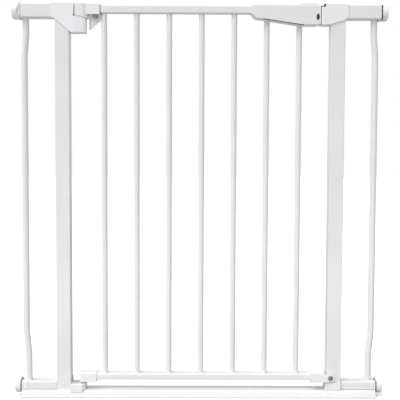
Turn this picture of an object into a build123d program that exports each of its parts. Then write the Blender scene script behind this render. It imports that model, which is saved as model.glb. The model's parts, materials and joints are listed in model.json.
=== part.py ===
from build123d import *
import os

# Walk-through safety gate held between two walls by pressure spindles.
# Millimetres. +X across the doorway, +Y away from the side the door opens to, +Z up, floor at Z = 0.

os.makedirs("parts", exist_ok=True)

# ---- driving dimensions -------------------------------------------------------------------------
RAIL_TOP = 765.6          # top of the fixed upper rails
RAIL_H = 26.5             # height of the fixed upper rails
FRAME_D = 28.0            # depth of posts, rails and stubs along Y
POST_W = 28.0             # width of a post along X
POST_IN = 251.5           # clear half width between the posts
WALL = 1.5                # steel wall of the frame tubes
BAR_TOP = 15.0            # top of the base bar, the threshold
BAR_HALF = 23.0           # half depth of the base bar on the floor
STUB_TOP = 31.2           # top of the short lower stubs
TUBE_R = 6.25             # side tube radius
TUBE_X = 340.0            # side tube, middle run
TUBE_TOP_X = 336.6        # side tube, upper end
TUBE_LOW_X = 335.6        # side tube, lower end
POST_CORNER = 1.6         # outside corner of the posts
RAIL_END_UL = 344.6       # outer end of the upper left rail
RAIL_END = 342.8          # outer ends of the other rail and of the stubs
CUP_FACE = 361.6          # wall face of the cups
CUP_RIM = 350.6           # open rim of the cups
CUP_R = 16.0
SPINDLE_R = 4.0
RUN_FIT = 0.05            # radial clearance of a running fit
NUT_T = 3.2               # thickness of a hand nut
PAD_BACK = 2.5            # how far a pad with a square plate stands back out of its cup
TOP_AXIS_Z = RAIL_TOP - RAIL_H / 2    # upper spindles
LOW_AXIS_Z = 22.5                     # lower spindles

HINGE_X = -229.0          # hinge axis
KNUCKLE_HALF = 13.0       # half width of the swivelling upper knuckle
KNUCKLE_FRONT = 13.6      # its half depth
KNUCKLE_SWEEP = 17.95     # clearance cut round it in the housing
SEAM_Z = 740.2            # height of the slanted cam face at the axis
CAM_SLOPE = 0.235         # fall of the cam face per millimetre along X
CAM_GAP = 0.8             # gap between the two cam faces when shut
PIN_R = 5.0
HOUSE_TOP = 767.4         # top of the hinge and latch housings
HINGE_D = 15.5            # half depth of the hinge housing
LATCH_D = 16.0            # half depth of the latch housing and of the handle

DOOR_RAIL_Z0 = 749.0      # underside of the door's top rail
DOOR_RAIL_Z1 = 763.3
DOOR_RAIL_D = 18.0
SILL_Z0 = 34.0            # underside of the door's bottom rail
SILL_Z1 = 46.2
SILL_D = 24.0
BAR_R = 5.5               # upright door bars
BAR_X0 = -185.5           # first bar
BAR_PITCH = 62.9
BARS = 7
HANDLE_X0 = 98.3
HANDLE_X1 = 231.3
HANDLE_TOP = 765.3
HANDLE_BOTTOM = 728.0
LATCH_X0 = 232.6          # free face of the latch housing
NOTCH_X1 = 240.8          # end of the open notch for the thumb slide's nose
STOP_X = 258.7            # screw of the door stop
STOP_Z = 39.4


def save(shape, name):
    """Label one piece and write it."""
    shape.label = name
    export_step(shape, "parts/" + name + ".step")


def tube_along_x(x0, x1, depth, z0, z1, wall, corner):
    """Rectangular steel tube lying along X."""
    with BuildPart() as tube:
        with BuildSketch(Plane.YZ.offset(x0)):
            with Locations((0, (z0 + z1) / 2)):
                RectangleRounded(depth, z1 - z0, corner)
                RectangleRounded(depth - 2 * wall, z1 - z0 - 2 * wall, corner - wall / 2, mode=Mode.SUBTRACT)
        extrude(amount=x1 - x0)
    return tube.part


# ---- base bar -----------------------------------------------------------------------------------
def base_bar_section(inset):
    """Section of the threshold: flat on the floor, sloped front and back."""
    with BuildSketch() as section:
        with BuildLine():
            Polyline((-BAR_HALF + inset, inset), (BAR_HALF - inset, inset),
                     (17 - 0.8 * inset, BAR_TOP - inset), (-17 + 0.8 * inset, BAR_TOP - inset), close=True)
        make_face()
        fillet(section.vertices().group_by(Axis.Y)[-1], 4.0 - inset)
        fillet(section.vertices().group_by(Axis.Y)[0], 1.8 - inset * 0.6)
    return section.sketch


BAR_X = (-347.9, 347.9)
with BuildPart() as base_bar:
    with BuildSketch(Plane.YZ.offset(BAR_X[0])):
        add(base_bar_section(0))
        add(base_bar_section(1.6), mode=Mode.SUBTRACT)
    extrude(amount=BAR_X[1] - BAR_X[0])
save(base_bar.part, "base_bar")

with BuildPart() as base_bar_plugs:
    with BuildSketch(Plane.YZ.offset(BAR_X[0] + 0.4)):
        add(base_bar_section(1.6))
    extrude(amount=9.0)
    with BuildSketch(Plane.YZ.offset(BAR_X[1] - 9.4)):
        add(base_bar_section(1.6))
    extrude(amount=9.0)
save(base_bar_plugs.part, "base_bar_plugs")

# ---- posts --------------------------------------------------------------------------------------
POST_TOP = RAIL_TOP - 0.2
POST_X = POST_IN + POST_W / 2
SCREW_Z = {-1: (733.5, 757.0), 1: (741.0, 757.0)}       # cover screws, left and right


def post(side):
    """Square upright tube, drilled behind for the housing cover's screws."""
    with BuildPart() as upright:
        with BuildSketch(Plane.XY.offset(BAR_TOP)):
            with Locations((side * POST_X, 0)):
                RectangleRounded(POST_W, FRAME_D, POST_CORNER)
                RectangleRounded(POST_W - 2 * WALL, FRAME_D - 2 * WALL, POST_CORNER / 2, mode=Mode.SUBTRACT)
        extrude(amount=POST_TOP - BAR_TOP)
        with BuildSketch(Plane.XZ.offset(-FRAME_D / 2)):
            with Locations(*((side * POST_X, z) for z in SCREW_Z[side])):
                Circle(1.75)
        extrude(amount=3.0, mode=Mode.SUBTRACT)
    return upright.part


save(post(-1), "left_post")
save(post(1), "right_post")


# ---- fixed rails, stubs and side tubes ----------------------------------------------------------
def run_along_x(side, end, z0, z1, gap=0.0):
    """Rail or stub from the post's outer face to the wall end."""
    inner = POST_IN + POST_W + gap
    x0, x1 = sorted((side * inner, side * end))
    return tube_along_x(x0, x1, FRAME_D, z0, z1, WALL, 2.5)


save(run_along_x(-1, RAIL_END_UL, RAIL_TOP - RAIL_H, RAIL_TOP), "top_rail_left")
save(run_along_x(1, RAIL_END, RAIL_TOP - RAIL_H, RAIL_TOP), "top_rail_right")
save(run_along_x(-1, RAIL_END, BAR_TOP, STUB_TOP), "bottom_stub_left")
save(run_along_x(1, RAIL_END, BAR_TOP, STUB_TOP, 1.1), "bottom_stub_right")


def side_tube(side):
    """Round tube beside a post, set outward a little between its two bends."""
    z1 = RAIL_TOP - RAIL_H
    with BuildPart() as tube:
        with BuildLine() as path:
            Polyline((side * TUBE_LOW_X, 0, STUB_TOP), (side * TUBE_LOW_X, 0, 84),
                     (side * TUBE_X, 0, 130), (side * TUBE_X, 0, 668),
                     (side * TUBE_TOP_X, 0, 706), (side * TUBE_TOP_X, 0, z1))
            fillet(path.vertices().filter_by(lambda v: STUB_TOP + 1 < v.Z < z1 - 1), 60)
        with BuildSketch(Plane.XY.offset(STUB_TOP)):
            with Locations((side * TUBE_LOW_X, 0)):
                Circle(TUBE_R)
                Circle(TUBE_R - 1.2, mode=Mode.SUBTRACT)
        sweep()
    return tube.part


save(side_tube(-1), "side_tube_left")
save(side_tube(1), "side_tube_right")


# ---- end plugs ----------------------------------------------------------------------------------
def end_plug(side, end, z0, z1, axis_z):
    """Plug in a tube end: thin flange outside, body inside, clear hole for the spindle."""
    face = side * end
    plane = Plane(origin=(face, 0, 0), x_dir=(0, 1, 0), z_dir=(side, 0, 0))
    flip = 1 if side > 0 else -1
    with BuildPart() as plug:
        with BuildSketch(plane):
            with Locations((0, flip * (z0 + z1 + 1.0) / 2)):
                RectangleRounded(FRAME_D + 1.6, z1 - z0 + 0.8, 3.0)
        extrude(amount=1.5)
        with BuildSketch(plane):
            with Locations((0, flip * (z0 + z1) / 2)):
                RectangleRounded(FRAME_D - 2 * WALL - 0.2, z1 - z0 - 2 * WALL - 0.2, 1.75)
        extrude(amount=-14.0)
        with BuildSketch(plane.offset(2)):
            with Locations((0, flip * axis_z)):
                Circle(SPINDLE_R + 0.3)
        extrude(amount=-20.0, mode=Mode.SUBTRACT)
        if axis_z == LOW_AXIS_Z:
            with BuildSketch(plane):
                with Locations((0, flip * (z0 + z1 + 1.0) / 2)):
                    RectangleRounded(FRAME_D + 1.6, z1 - z0 + 0.8, 3.0)
                with Locations((0, flip * (z0 + z1) / 2)):
                    RectangleRounded(FRAME_D + 0.04, z1 - z0 + 0.04, 2.5, mode=Mode.SUBTRACT)
                with Locations((0, flip * (z0 - 4.9))):
                    Rectangle(40, 10, mode=Mode.SUBTRACT)
            extrude(amount=-5.5)
            with BuildSketch(Plane.XY.offset(z1 - 0.5)):
                with Locations((side * TUBE_LOW_X, 0)):
                    Circle(TUBE_R + 0.1)
            extrude(amount=3.0, mode=Mode.SUBTRACT)
    return plug.part


with BuildPart() as end_plugs:
    add(end_plug(-1, RAIL_END_UL, RAIL_TOP - RAIL_H, RAIL_TOP, TOP_AXIS_Z))
    add(end_plug(1, RAIL_END, RAIL_TOP - RAIL_H, RAIL_TOP, TOP_AXIS_Z))
    add(end_plug(-1, RAIL_END, BAR_TOP, STUB_TOP, LOW_AXIS_Z))
    add(end_plug(1, RAIL_END, BAR_TOP, STUB_TOP, LOW_AXIS_Z))
save(end_plugs.part, "end_plugs")


# ---- pressure spindles, hand nuts, pads and wall cups -------------------------------------------
def wall_plane(side, distance, axis_z):
    """Plane facing the wall on one side, centred on a spindle."""
    return Plane(origin=(side * distance, 0, axis_z), x_dir=(0, 1, 0), z_dir=(side, 0, 0))


def hand_nut(side, end, axis_z, across):
    """Hand nut: broad ones are four-sided with a dip in each side, small ones round with eight grips."""
    face = end + 1.5 + 0.3
    with BuildPart() as nut:
        with BuildSketch(wall_plane(side, face, axis_z)):
            if across > 20:
                RectangleRounded(across, across, across * 0.2)
                with PolarLocations(across / 2 + 8.6, 4):
                    Circle(9.4, mode=Mode.SUBTRACT)
            else:
                Circle(across / 2)
                with PolarLocations(across / 2 + 1.2, 8):
                    Circle(1.8, mode=Mode.SUBTRACT)
        extrude(amount=NUT_T)
        ends = nut.edges().group_by(Axis.X)
        chamfer(ends[0] + ends[-1], 0.6 if across > 20 else 0.3)
        with BuildSketch(wall_plane(side, face - 1, axis_z)):
            Circle(SPINDLE_R + RUN_FIT)
        extrude(amount=NUT_T + 2, mode=Mode.SUBTRACT)
    return nut.part


def spindle(side, axis_z, back):
    """Plain shank in place of the thread, chamfered at the inner end."""
    start = 292.0
    tip = CUP_RIM - back + 4.0
    with BuildPart() as rod:
        with BuildSketch(wall_plane(side, start, axis_z)):
            Circle(SPINDLE_R)
        extrude(amount=tip - start)
        chamfer(rod.edges().sort_by(Axis.X)[0 if side > 0 else -1], 0.8)
    return rod.part


def wall_pad(side, axis_z, back, plate_z0, plate_z1):
    """Rubber pad: square plate if it stands back, collar in the cup's mouth, narrower body inside."""
    mouth = CUP_RIM - back + 0.2
    flip = 1 if side > 0 else -1
    with BuildPart() as pad:
        with BuildSketch(wall_plane(side, CUP_RIM + 0.2 - min(back, 0.4), axis_z)):
            Circle(14.9)
        extrude(amount=3.0)
        if back > 0:
            with BuildSketch(wall_plane(side, mouth, axis_z)):
                with Locations((0, flip * ((plate_z0 + plate_z1) / 2 - axis_z))):
                    RectangleRounded(FRAME_D + 0.8, plate_z1 - plate_z0, 3.0)
            extrude(amount=back - 0.4)
        with BuildSketch(wall_plane(side, mouth + 3.0, axis_z)):
            Circle(12.1)
        extrude(amount=4.0)
        with BuildSketch(wall_plane(side, mouth, axis_z)):
            Circle(SPINDLE_R)
        extrude(amount=3.8, mode=Mode.SUBTRACT)
        with BuildSketch(wall_plane(side, mouth + 7.0, axis_z)):
            Circle(5.0)
        extrude(amount=-2.0, mode=Mode.SUBTRACT)
    return pad.part


def wall_cup(side, axis_z):
    """Wall cup: stepped pocket for the pad and a screw hole in its base."""
    with BuildPart() as cup:
        with BuildSketch(wall_plane(side, CUP_RIM, axis_z)):
            Circle(CUP_R)
        extrude(amount=CUP_FACE - CUP_RIM)
        rims = cup.edges().group_by(Axis.X)
        fillet(rims[-1] if side > 0 else rims[0], 2.2)
        with BuildSketch(wall_plane(side, CUP_RIM, axis_z)):
            Circle(15.1)
        extrude(amount=3.4, mode=Mode.SUBTRACT)
        with BuildSketch(wall_plane(side, CUP_RIM, axis_z)):
            Circle(12.3)
        extrude(amount=7.7, mode=Mode.SUBTRACT)
        with BuildSketch(wall_plane(side, CUP_RIM, axis_z)):
            Circle(2.2)
        extrude(amount=20.0, mode=Mode.SUBTRACT)
    return cup.part


# side, tube end, spindle height, nut width, stand-back of the pad, bottom and top of its plate
CORNERS = {"upper_left": (-1, RAIL_END_UL, TOP_AXIS_Z, 32.0, 0.0, 0.0, 0.0),
           "upper_right": (1, RAIL_END, TOP_AXIS_Z, 32.0, PAD_BACK, 738.0, 766.2),
           "lower_left": (-1, RAIL_END, LOW_AXIS_Z, 14.2, PAD_BACK, 10.4, 31.9),
           "lower_right": (1, RAIL_END, LOW_AXIS_Z, 14.2, PAD_BACK, 10.4, 31.9)}
for corner_name, (side_sign, tube_end, axis, nut_width, stand_back, low, high) in CORNERS.items():
    save(hand_nut(side_sign, tube_end, axis, nut_width), "hand_nut_" + corner_name)
    save(spindle(side_sign, axis, stand_back), "spindle_" + corner_name)
    save(wall_pad(side_sign, axis, stand_back, low, high), "wall_pad_" + corner_name)
    save(wall_cup(side_sign, axis), "wall_cup_" + corner_name)


# ---- hinge housing ------------------------------------------------------------------------------
def cam_z(x):
    """Height of the fixed cam face above a point on the X axis."""
    return SEAM_Z - CAM_SLOPE * (x - HINGE_X)


SLIT_X = HINGE_X - KNUCKLE_HALF - 0.7
HOOD_X1 = -220.0          # end of the housing under the knuckle


def above_cam(gap, x0, x1, z1):
    """Block over the slanted cam face, a set gap above it."""
    with BuildPart() as block:
        with BuildSketch(Plane.XZ):
            with BuildLine():
                Polyline((x0, cam_z(x0) + gap), (x1, cam_z(x1) + gap), (x1, z1), (x0, z1), close=True)
            make_face()
        extrude(amount=30, both=True)
    return block.part


with BuildPart() as knuckle_room:
    with BuildSketch(Plane.XY.offset(725)):
        with Locations((HINGE_X, 0)):
            Circle(KNUCKLE_SWEEP)
    extrude(amount=50)
    add(above_cam(0, -260, -200, 780), mode=Mode.INTERSECT)

with BuildPart() as hinge_housing:
    with BuildSketch(Plane.XZ):
        with BuildLine():
            Polyline((-285.2, HOUSE_TOP), (SLIT_X, HOUSE_TOP), (SLIT_X, cam_z(SLIT_X)),
                     (HOOD_X1, cam_z(HOOD_X1)), (HOOD_X1, 711.3), (-249.3, 711.3),
                     (-279.7, 737.4), (-285.2, 739.2), close=True)
        make_face()
    extrude(amount=HINGE_D, both=True)
    with BuildSketch(Plane.XY.offset(700)):
        with Locations((-263.6, 0)):
            Rectangle(43.2, 2 * HINGE_D)
        with Locations((HINGE_X, 0)):
            Circle(13.6)
        make_hull()
    extrude(amount=80, mode=Mode.INTERSECT)
    fillet(hinge_housing.edges().filter_by(Axis.X).group_by(Axis.Z)[-1], 1.2)
    fillet(hinge_housing.edges().filter_by(Axis.Z).group_by(Axis.X)[0].sort_by(Axis.Y)[0], 1.0)
    add(knuckle_room.part, mode=Mode.SUBTRACT)
    # pockets for the post and the rail, open behind
    with BuildSketch(Plane.XZ.offset(-HINGE_D - 1)):
        with Locations((-POST_X, 735.0)):
            Rectangle(POST_W + 0.4, 61.4)
        with Locations((-284.0, 750.35)):
            Rectangle(9.0, 30.7)
    extrude(amount=2 * HINGE_D + 1 - 1.35, mode=Mode.SUBTRACT)
    # bore for the hinge pin, closed below
    with BuildSketch(Plane.XY.offset(713.5)):
        with Locations((HINGE_X, 0)):
            Circle(PIN_R + RUN_FIT)
    extrude(amount=40, mode=Mode.SUBTRACT)
    # relief hole where the slit meets the cam face
    with BuildSketch(Plane.XZ):
        with Locations((SLIT_X + 0.2, cam_z(SLIT_X))):
            Circle(1.5)
    extrude(amount=HINGE_D + 1, both=True, mode=Mode.SUBTRACT)
save(hinge_housing.part, "hinge_housing")

with BuildPart() as hinge_housing_cover:
    with BuildSketch(Plane.XZ.offset(-HINGE_D)):
        with BuildLine():
            Polyline((-285.0, 765.5), (-251.5, 765.5), (-251.5, 713.7), (-279.5, 737.9),
                     (-279.5, 739.4), (-285.0, 739.4), close=True)
        make_face()
        with Locations(*((-POST_X, z) for z in SCREW_Z[-1])):
            Circle(1.8, mode=Mode.SUBTRACT)
    extrude(amount=1.4)
save(hinge_housing_cover.part, "hinge_housing_cover")

with BuildPart() as upper_hinge_pin:
    with BuildSketch(Plane.XY.offset(714.0)):
        with Locations((HINGE_X, 0)):
            Circle(PIN_R)
    extrude(amount=48.0)
    chamfer(upper_hinge_pin.edges(), 0.6)
save(upper_hinge_pin.part, "upper_hinge_pin")

# ---- door side of the upper hinge ---------------------------------------------------------------
ARM_X1 = -193.0
ARM_D = 10.8
with BuildPart() as upper_hinge_arm:
    with BuildSketch(Plane.XY.offset(730)):
        with Locations((HINGE_X, 0)):
            Circle(KNUCKLE_FRONT)
        with Locations((HINGE_X - KNUCKLE_HALF / 2, 0)):
            Rectangle(KNUCKLE_HALF, 2 * KNUCKLE_FRONT)
    extrude(amount=36.0)
    fillet(upper_hinge_arm.edges().filter_by(Axis.Z).group_by(Axis.X)[0], 3.0)
    add(above_cam(CAM_GAP, -260, -200, 790), mode=Mode.INTERSECT)
    with BuildSketch(Plane.XZ):
        with Locations(((HINGE_X + ARM_X1) / 2, 755.65)):
            Rectangle(ARM_X1 - HINGE_X, 19.5)
    extrude(amount=ARM_D, both=True)
    fillet(upper_hinge_arm.faces().sort_by(Axis.X)[-1].edges(), 1.0)
    with BuildSketch(Plane.XY.offset(730)):
        with Locations((HINGE_X, 0)):
            Circle(PIN_R + RUN_FIT)
    extrude(amount=32.6, mode=Mode.SUBTRACT)
    with BuildSketch(Plane.YZ.offset(-212.0)):
        with Locations((0, (DOOR_RAIL_Z0 + DOOR_RAIL_Z1) / 2)):
            RectangleRounded(DOOR_RAIL_D + 0.1, DOOR_RAIL_Z1 - DOOR_RAIL_Z0 + 0.1, 2.0)
    extrude(amount=30, mode=Mode.SUBTRACT)
    with BuildSketch(Plane.XY.offset(744)):
        with Locations((-201.5, -6.0), (-201.5, 6.0)):
            Circle(1.7)
    extrude(amount=6.0, mode=Mode.SUBTRACT)
save(upper_hinge_arm.part, "upper_hinge_arm")

with BuildPart() as hinge_gusset:
    with BuildSketch(Plane.XZ):
        with BuildLine():
            Polyline((-214.3, 745.9), (-214.3, 717.8), (-212.4, 717.8), (-191.4, 735.6), (-191.4, 745.9),
                     close=True)
        make_face()
    extrude(amount=1.5, both=True)
save(hinge_gusset.part, "hinge_gusset")

with BuildPart() as arm_screws:
    with BuildSketch(Plane.XY.offset(742.8)):
        with Locations((-201.5, -6.0), (-201.5, 6.0)):
            Circle(3.2)
    extrude(amount=3.1)
    chamfer(arm_screws.edges().group_by(Axis.Z)[0], 0.7)
    with BuildSketch(Plane.XY.offset(745.9)):
        with Locations((-201.5, -6.0), (-201.5, 6.0)):
            Circle(1.6)
    extrude(amount=6.0)
save(arm_screws.part, "arm_screws")

# ---- door frame ---------------------------------------------------------------------------------
with BuildPart() as door_top_rail:
    add(tube_along_x(-211.8, 180.0, DOOR_RAIL_D, DOOR_RAIL_Z0, DOOR_RAIL_Z1, 1.3, 2.0))
    with BuildSketch(Plane.XY.offset(DOOR_RAIL_Z0 - 1)):
        with Locations((-201.5, -6.0), (-201.5, 6.0)):
            Circle(1.7)
    extrude(amount=3.0, mode=Mode.SUBTRACT)
save(door_top_rail.part, "door_top_rail")

save(tube_along_x(-214.0, 240.0, SILL_D, SILL_Z0, SILL_Z1, 1.3, 2.5), "door_bottom_rail")

for index in range(BARS):
    bar_end = 743.5 if index == BARS - 1 else DOOR_RAIL_Z0
    with BuildPart() as door_bar:
        with BuildSketch(Plane.XY.offset(SILL_Z1)):
            with Locations((BAR_X0 + index * BAR_PITCH, 0)):
                Circle(BAR_R)
                Circle(BAR_R - 1.2, mode=Mode.SUBTRACT)
        extrude(amount=bar_end - SILL_Z1)
    save(door_bar.part, "door_bar_" + str(index + 1))

# ---- lower hinge --------------------------------------------------------------------------------
with BuildPart() as door_corner_cap:
    with BuildSketch(Plane.XY.offset(30.4)):
        with Locations((-217.6, 0)):
            RectangleRounded(33.8, 28.0, 3.0)
    extrude(amount=17.2)
    fillet(door_corner_cap.edges().group_by(Axis.Z)[-1], 1.2)
    with BuildSketch(Plane.YZ.offset(-214.2)):
        with Locations((0, (SILL_Z0 + SILL_Z1) / 2)):
            RectangleRounded(SILL_D + 0.1, SILL_Z1 - SILL_Z0 + 0.1, 2.5)
    extrude(amount=30, mode=Mode.SUBTRACT)
    with BuildSketch(Plane.XY.offset(30)):
        with Locations((HINGE_X, 0)):
            Circle(4.0)
    extrude(amount=14.0, mode=Mode.SUBTRACT)
save(door_corner_cap.part, "door_corner_cap")

with BuildPart() as lower_hinge_pin:
    with BuildSketch(Plane.XY.offset(16.4)):
        with Locations((HINGE_X, 0)):
            Circle(4.0)
    extrude(amount=27.6)
    chamfer(lower_hinge_pin.edges(), 0.5)
save(lower_hinge_pin.part, "lower_hinge_pin")

with BuildPart() as hinge_washer:
    with BuildSketch(Plane.XY.offset(27.2)):
        with Locations((HINGE_X, 0)):
            Circle(8.0)
            Circle(4.1, mode=Mode.SUBTRACT)
    extrude(amount=3.2)
save(hinge_washer.part, "hinge_washer")

with BuildPart() as lower_hinge_block:
    with BuildSketch(Plane.XY.offset(BAR_TOP)):
        with BuildLine():
            Polyline((-251.5, -20), (-228.6, -20), (-223.0, -14.5), (-223.0, 14), (-251.5, 14), close=True)
        make_face()
    extrude(amount=11.6)
    fillet(lower_hinge_block.edges().filter_by(Axis.Z).sort_by(Axis.X)[-2:], 2.0)
    fillet(lower_hinge_block.edges().group_by(Axis.Z)[-1].sort_by(Axis.X)[1:], 1.0)
    with BuildSketch(Plane.XY.offset(11.2)):
        with Locations((-240.0, -19.2)):
            Rectangle(23.0, 1.6)
    extrude(amount=5.0)
    with BuildSketch(Plane.XY.offset(16.0)):
        with Locations((HINGE_X, 0)):
            Circle(4.0 + RUN_FIT)
    extrude(amount=20, mode=Mode.SUBTRACT)
save(lower_hinge_block.part, "lower_hinge_block")

with BuildPart() as lower_hinge_bracket:
    with BuildSketch(Plane.XZ):
        with BuildLine():
            Polyline((-251.5, 26.6), (-238.4, 26.6), (-238.4, 28.2), (-249.7, 28.2), (-249.7, 38.0),
                     (-251.5, 38.0), close=True)
        make_face()
    extrude(amount=10, both=True)
save(lower_hinge_bracket.part, "lower_hinge_bracket")

# ---- seat at the foot of the latch post ---------------------------------------------------------
with BuildPart() as post_foot_clip:
    with BuildSketch(Plane.XY.offset(BAR_TOP)):
        with Locations((264.05, 0)):
            Rectangle(30.7, 33.6)
        with Locations((265.55, 0)):
            Rectangle(28.3, 28.2, mode=Mode.SUBTRACT)
    extrude(amount=15.0)
    fillet(post_foot_clip.edges().filter_by(Axis.Z).sort_by(Axis.X)[:2], 2.0)
save(post_foot_clip.part, "post_foot_clip")

# ---- latch housing ------------------------------------------------------------------------------
with BuildPart() as latch_housing:
    with BuildSketch(Plane.XZ):
        with BuildLine():
            Polyline((LATCH_X0, HOUSE_TOP), (284.4, HOUSE_TOP), (284.4, 742.7), (279.7, 737.4),
                     (250.1, HANDLE_BOTTOM), (LATCH_X0, HANDLE_BOTTOM), close=True)
        make_face()
    extrude(amount=LATCH_D, both=True)
    fillet(latch_housing.edges().filter_by(Axis.Z).sort_by(Axis.X)[:2], 1.0)
    fillet(latch_housing.edges().filter_by(Axis.X).group_by(Axis.Z)[-1], 1.2)
    # pockets for the post and the rail, and the hollow beside them, open behind
    with BuildSketch(Plane.XZ.offset(-LATCH_D - 1)):
        with Locations((POST_X, 745.0)):
            Rectangle(POST_W + 0.4, 41.4)
        with Locations((283.0, 750.35)):
            Rectangle(9.0, 30.7)
    extrude(amount=2 * LATCH_D + 1 - 1.85, mode=Mode.SUBTRACT)
    with BuildSketch(Plane.XZ.offset(-LATCH_D - 1)):
        with Locations((241.6, 744.6)):
            Rectangle(15.2, 29.0)
    extrude(amount=2 * LATCH_D + 1 - 2.0, mode=Mode.SUBTRACT)
    # notch open in front and above, then the closed pocket behind it
    with BuildSketch(Plane.XY.offset(761.3)):
        with Locations(((LATCH_X0 + NOTCH_X1) / 2 - 1, -4.0)):
            Rectangle(NOTCH_X1 - LATCH_X0 + 2, 26.0)
    extrude(amount=10, mode=Mode.SUBTRACT)
    with BuildSketch(Plane.XY.offset(761.3)):
        with Locations((243.6, 0)):
            Rectangle(9.4, 13.2)
    extrude(amount=4.2, mode=Mode.SUBTRACT)
save(latch_housing.part, "latch_housing")

with BuildPart() as latch_housing_cover:
    with BuildSketch(Plane.XZ.offset(-LATCH_D)):
        with BuildLine():
            Polyline((251.5, 765.5), (284.2, 765.5), (284.2, 743.2), (279.5, 737.9), (251.5, 729.1),
                     close=True)
        make_face()
        with Locations((241.6, 744.6)):
            Rectangle(14.9, 28.7)
        with Locations(*((POST_X, z) for z in SCREW_Z[1])):
            Circle(1.8, mode=Mode.SUBTRACT)
    extrude(amount=1.4)
save(latch_housing_cover.part, "latch_housing_cover")

# ---- housing cover screws -----------------------------------------------------------------------
with BuildPart() as housing_screws:
    for screw_side, half_depth in ((-1, HINGE_D), (1, LATCH_D)):
        for screw_z in SCREW_Z[screw_side]:
            with BuildSketch(Plane.XZ.offset(-half_depth)):
                with Locations((screw_side * POST_X, screw_z)):
                    Circle(3.2)
            extrude(amount=-1.8)
            with BuildSketch(Plane.XZ.offset(-half_depth)):
                with Locations((screw_side * POST_X, screw_z)):
                    Circle(1.7)
            extrude(amount=5.5)
save(housing_screws.part, "housing_screws")

# ---- handle -------------------------------------------------------------------------------------
LENS_X = 225.9
LENS_Z = 742.0
BOSSES = ((140.0, 742.6), (172.0, 738.6), (214.0, 735.0))


def handle_outline(inset):
    """Handle seen from the front: deep at the latch, tapering along the rail."""
    with BuildSketch() as outline:
        with BuildLine():
            Polyline((HANDLE_X0 + inset, HANDLE_TOP - inset), (HANDLE_X0 + inset, 748.6),
                     (106.4 + inset * 0.5, 740.7 + inset), (133.0, 737.1 + inset),
                     (171.4, 731.2 + inset), (196.4, HANDLE_BOTTOM + inset),
                     (224.0, HANDLE_BOTTOM + inset), (HANDLE_X1 - inset, 729.8 + inset),
                     (HANDLE_X1 - inset, HANDLE_TOP - inset), close=True)
        make_face()
    return outline.sketch


def handle_shell(keep_front):
    """Front or back half of the handle, with ribs for the rail and bosses for the screws."""
    with BuildPart() as shell:
        with BuildSketch(Plane.XZ):
            add(handle_outline(0))
        extrude(amount=LATCH_D, both=True)
        fillet(shell.edges().filter_by(Axis.X).group_by(Axis.Z)[-1], 3.0)
        fillet(shell.edges().filter_by(Axis.Z).sort_by(Axis.X)[:2], 2.0)
        with BuildSketch(Plane.XZ):
            add(handle_outline(2.0))
        extrude(amount=LATCH_D - 2.0, both=True, mode=Mode.SUBTRACT)
        for rib_x in (112.0, 158.0):
            for rib_y in (-1, 1):
                with BuildSketch(Plane.XY.offset(744.0)):
                    with Locations((rib_x, rib_y * 11.55)):
                        Rectangle(2.0, 5.0)
                extrude(amount=20.0)
        with BuildSketch(Plane.XZ):
            for boss_x, boss_z in BOSSES:
                with Locations((boss_x, boss_z)):
                    Circle(3.4)
        extrude(amount=LATCH_D - 1.0, both=True)
        with BuildSketch(Plane.XZ.offset(-LATCH_D)):
            for boss_x, boss_z in BOSSES:
                with Locations((boss_x, boss_z)):
                    Circle(1.65)
        extrude(amount=24.0, mode=Mode.SUBTRACT)
        with BuildSketch(Plane.XZ.offset(-LATCH_D)):
            for boss_x, boss_z in BOSSES:
                with Locations((boss_x, boss_z)):
                    Circle(3.0)
        extrude(amount=1.5, mode=Mode.SUBTRACT)
        # ways in for the rail and for the last two bars
        with BuildSketch(Plane.YZ.offset(HANDLE_X0 - 1)):
            with Locations((0, (DOOR_RAIL_Z0 + DOOR_RAIL_Z1) / 2)):
                RectangleRounded(DOOR_RAIL_D + 0.1, DOOR_RAIL_Z1 - DOOR_RAIL_Z0 + 0.02, 2.0)
        extrude(amount=6.0, mode=Mode.SUBTRACT)
        with BuildSketch(Plane.XY.offset(720.0)):
            for bar_index in (BARS - 2, BARS - 1):
                with Locations((BAR_X0 + bar_index * BAR_PITCH, 0)):
                    Circle(BAR_R + 0.05)
        extrude(amount=22.0, mode=Mode.SUBTRACT)
        # slot for the thumb slide's stem and channel for its nose
        with BuildSketch(Plane.XY.offset(762.0)):
            with Locations((203.5, 0)):
                Rectangle(14.2, 6.6)
        extrude(amount=5.0, mode=Mode.SUBTRACT)
        with BuildSketch(Plane.XY.offset(761.3)):
            with Locations((223.0, 0)):
                Rectangle(17.0, 13.2)
        extrude(amount=6.0, mode=Mode.SUBTRACT)
        # window for the indicator lens
        with BuildSketch(Plane.XZ.offset(LATCH_D + 1)):
            with Locations((LENS_X, LENS_Z)):
                Ellipse(3.15, 6.35)
        extrude(amount=-4.0, mode=Mode.SUBTRACT)
        with BuildSketch(Plane.XZ.offset(-20.0 if keep_front else 0.0)):
            with Locations((165.0, 745.0)):
                Rectangle(200.0, 80.0)
        extrude(amount=20.0, mode=Mode.SUBTRACT)
    return shell.part


save(handle_shell(True), "handle_shell_front")
save(handle_shell(False), "handle_shell_back")

with BuildPart() as indicator_lens:
    with BuildSketch(Plane.XZ.offset(LATCH_D + 0.2)):
        with Locations((LENS_X, LENS_Z)):
            Ellipse(3.1, 6.3)
    extrude(amount=-2.3)
    fillet(indicator_lens.edges().sort_by(Axis.Y)[0], 0.5)
    with BuildSketch(Plane.XZ.offset(LATCH_D - 2.05)):
        with Locations((LENS_X - 0.35, LENS_Z)):
            Ellipse(3.5, 7.0)
    extrude(amount=-1.2)
save(indicator_lens.part, "indicator_lens")

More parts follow.
